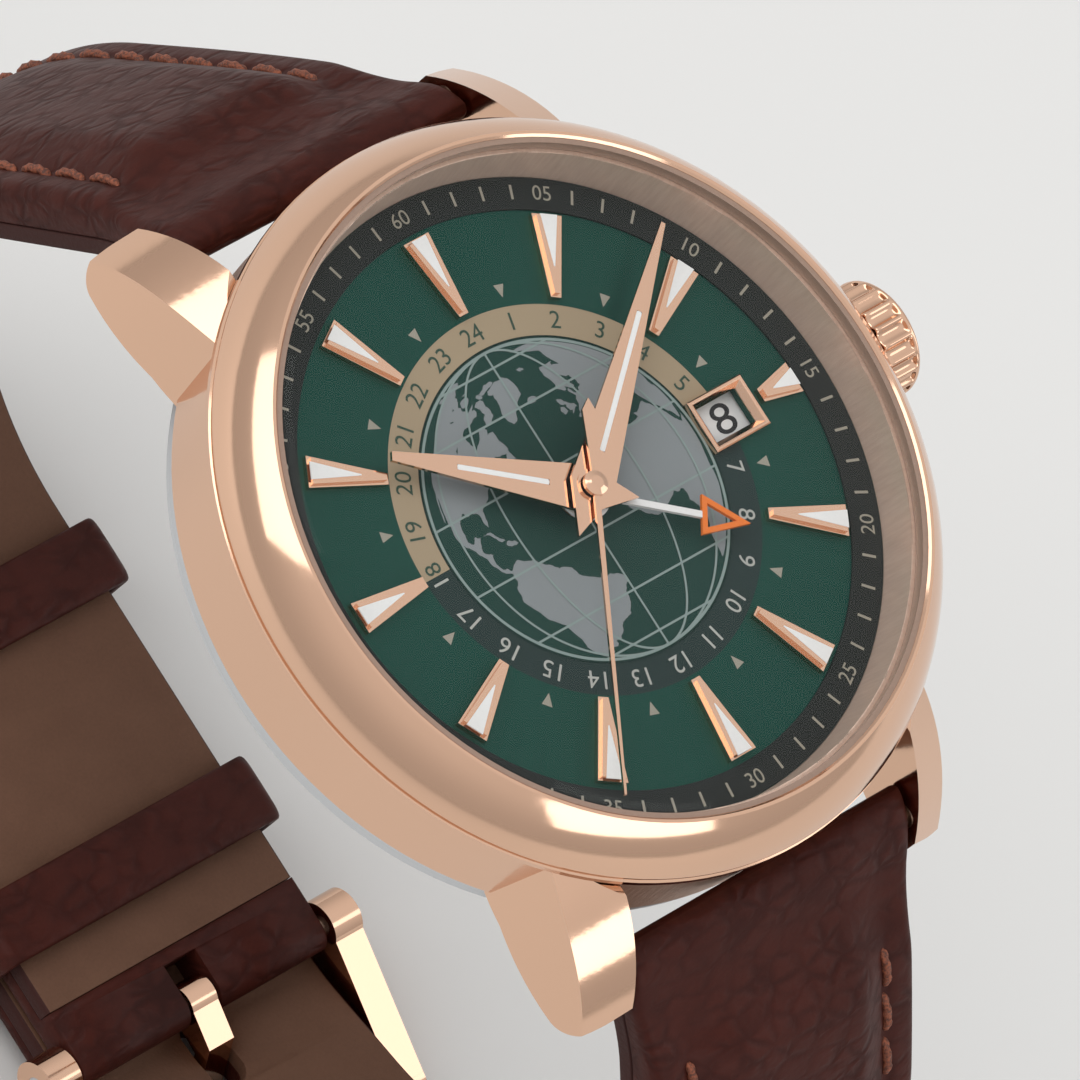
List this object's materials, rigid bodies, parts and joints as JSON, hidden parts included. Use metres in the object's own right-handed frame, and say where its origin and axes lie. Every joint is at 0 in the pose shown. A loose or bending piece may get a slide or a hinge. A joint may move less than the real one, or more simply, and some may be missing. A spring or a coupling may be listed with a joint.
{
  "type": "gmt watch",
  "caption": "Round automatic wrist watch with a second time zone hand, date window and display back, on a buckled padded leather strap.",
  "frame": {"origin": "on the plane that the buckled watch stands on, straight under the centre of the dial", "axes": "+Z out of the dial, +X towards 3 o'clock and the crown, +Y towards 12 o'clock"},
  "size_m": [0.046, 0.0755, 0.0625],
  "materials": {
    "rose_gold": "polished rose gold plating",
    "brushed_rose_gold": "circularly brushed rose gold plating",
    "sapphire": "clear, polished",
    "case_steel": "satin stainless steel",
    "dial_green": "deep green sunburst lacquer with printed map and rings",
    "ring_charcoal": "matt charcoal with printed minutes",
    "date_white": "matt white with printed days",
    "gmt_white": "white lacquer",
    "gmt_orange": "orange lacquer",
    "plate_nickel": "nickel plated brass, pearled",
    "rotor_metal": "striped heavy metal",
    "blued_steel": "blued, polished",
    "ruby": "polished synthetic ruby",
    "train_brass": "gilt brass",
    "train_steel": "hardened, polished steel",
    "holder_plastic": "moulded ring",
    "seal_rubber": "nitrile",
    "seal_clear": "nylon",
    "strap_leather": "dark red-brown grained calf",
    "lining_leather": "plain tan calf lining"
  },
  "bodies": {
    "case": {"mid_case": "rose_gold", "bezel": "rose_gold", "crystal": "sapphire", "crystal_gasket": "seal_clear", "inner_flange": "brushed_rose_gold", "case_back": "case_steel", "back_window": "sapphire", "back_gasket": "seal_rubber", "movement_holder": "holder_plastic", "crown_tube": "case_steel", "spring_bar_12": "case_steel", "spring_bar_6": "case_steel", "dial_plate": "dial_green", "minute_ring": "ring_charcoal", "hour_markers": "rose_gold", "date_frame": "rose_gold", "main_plate": "plate_nickel", "barrel_bridge": "plate_nickel", "train_bridge": "plate_nickel", "pallet_bridge": "plate_nickel", "balance_cock": "plate_nickel", "bridge_screws": "blued_steel", "jewels": "ruby", "hairspring": "blued_steel", "rotor_bearing": "rotor_metal", "strap_12_leather": "strap_leather", "strap_12_lining": "lining_leather", "strap_6_leather": "strap_leather", "strap_6_lining": "lining_leather", "fixed_keeper": "strap_leather", "buckle_frame": "rose_gold", "buckle_bar": "case_steel"},
    "date_ring": {"date_disc": "date_white"},
    "barrel": {"barrel": "train_brass"},
    "center_arbor": {"center_wheel": "train_brass"},
    "third_arbor": {"third_wheel": "train_brass"},
    "seconds": {"fourth_wheel": "train_brass", "second_hand": "rose_gold"},
    "escape_arbor": {"escape_wheel": "train_steel"},
    "fork": {"pallet_fork": "train_steel"},
    "balance": {"balance_wheel": "train_brass"},
    "minutes": {"cannon_pinion": "train_steel", "minute_hand": "rose_gold"},
    "minute_stud": {"minute_wheel": "train_brass"},
    "hours": {"hour_wheel": "train_brass", "hour_hand": "rose_gold"},
    "idler": {"gmt_idler": "train_brass"},
    "second_zone": {"gmt_wheel": "train_brass", "gmt_hand": "gmt_white", "gmt_arrow": "gmt_orange"},
    "rotor": {"rotor_weight": "rotor_metal"},
    "pull_lever": {"setting_lever": "case_steel"},
    "crown_and_stem": {"winding_stem": "case_steel", "crown": "rose_gold", "crown_gasket": "seal_rubber"},
    "loose_keeper": {"sliding_keeper": "strap_leather"},
    "tongue": {"buckle_tongue": "rose_gold"}
  },
  "joints": [
    {"name": "seconds_hand_turn", "type": "hinge", "parent": "case", "child": "seconds", "pos_m": [0, 0, 0.05667], "axis": [0, 0, -1], "continuous": true},
    {"name": "third_wheel_turn", "type": "hinge", "parent": "case", "child": "third_arbor", "pos_m": [-0.00289, -0.00135, 0.05667], "axis": [0, 0, -1], "continuous": true},
    {"name": "center_wheel_turn", "type": "hinge", "parent": "case", "child": "center_arbor", "pos_m": [-0.00671, 0, 0.05667], "axis": [0, 0, -1], "continuous": true},
    {"name": "barrel_turn", "type": "hinge", "parent": "case", "child": "barrel", "pos_m": [-0.00557, 0.00502, 0.05667], "axis": [0, 0, -1], "continuous": true},
    {"name": "escape_wheel_turn", "type": "hinge", "parent": "case", "child": "escape_arbor", "pos_m": [0.00092, -0.00253, 0.05667], "axis": [0, 0, -1], "continuous": true},
    {"name": "minute_hand_turn", "type": "hinge", "parent": "case", "child": "minutes", "pos_m": [0, 0, 0.05667], "axis": [0, 0, -1], "continuous": true},
    {"name": "minute_wheel_turn", "type": "hinge", "parent": "case", "child": "minute_stud", "pos_m": [0.002, 0.00073, 0.05667], "axis": [0, 0, -1], "continuous": true},
    {"name": "hour_hand_turn", "type": "hinge", "parent": "case", "child": "hours", "pos_m": [0, 0, 0.05667], "axis": [0, 0, -1], "continuous": true},
    {"name": "idler_turn", "type": "hinge", "parent": "case", "child": "idler", "pos_m": [-0.00116, -0.00319, 0.05667], "axis": [0, 0, -1], "continuous": true},
    {"name": "gmt_hand_turn", "type": "hinge", "parent": "case", "child": "second_zone", "pos_m": [0, 0, 0.05667], "axis": [0, 0, -1], "continuous": true},
    {"name": "date_disc_turn", "type": "hinge", "parent": "case", "child": "date_ring", "pos_m": [0, 0, 0.05667], "axis": [0, 0, -1], "continuous": true},
    {"name": "rotor_turn", "type": "hinge", "parent": "case", "child": "rotor", "pos_m": [0, 0, 0.05667], "axis": [0, 0, -1], "continuous": true},
    {"name": "balance_swing", "type": "hinge", "parent": "case", "child": "balance", "pos_m": [0.0059, -0.0057, 0.05667], "axis": [0, 0, -1], "range_deg": [-270, 270], "stiffness_Nm_per_rad": 0.0000004},
    {"name": "fork_rock", "type": "hinge", "parent": "case", "child": "fork", "pos_m": [0.00351, -0.00347, 0.05667], "axis": [0, 0, -1], "range_deg": [-5, 5]},
    {"name": "crown_pull", "type": "slide", "parent": "case", "child": "pull_lever", "axis": [1, 0, 0], "range_m": [0, 0.0015]},
    {"name": "crown_turn", "type": "hinge", "parent": "pull_lever", "child": "crown_and_stem", "pos_m": [0.0225, 0, 0.05617], "axis": [1, 0, 0], "continuous": true},
    {"name": "keeper_slide", "type": "slide", "parent": "case", "child": "loose_keeper", "axis": [0, -1, 0], "range_m": [-0.001, 0.0109]},
    {"name": "tongue_swing", "type": "hinge", "parent": "case", "child": "tongue", "pos_m": [0, -0.008, 0.00465], "axis": [1, 0, 0], "range_deg": [0, 8]}
  ],
  "couplings": [
    {"joint": "third_wheel_turn", "follows": "seconds_hand_turn", "ratio": -0.13333},
    {"joint": "center_wheel_turn", "follows": "seconds_hand_turn", "ratio": 0.016667},
    {"joint": "barrel_turn", "follows": "seconds_hand_turn", "ratio": -0.002381},
    {"joint": "escape_wheel_turn", "follows": "seconds_hand_turn", "ratio": -10},
    {"joint": "minute_wheel_turn", "follows": "minute_hand_turn", "ratio": -0.33333},
    {"joint": "hour_hand_turn", "follows": "minute_hand_turn", "ratio": 0.083333},
    {"joint": "idler_turn", "follows": "minute_hand_turn", "ratio": -0.083333},
    {"joint": "gmt_hand_turn", "follows": "minute_hand_turn", "ratio": 0.041667}
  ]
}
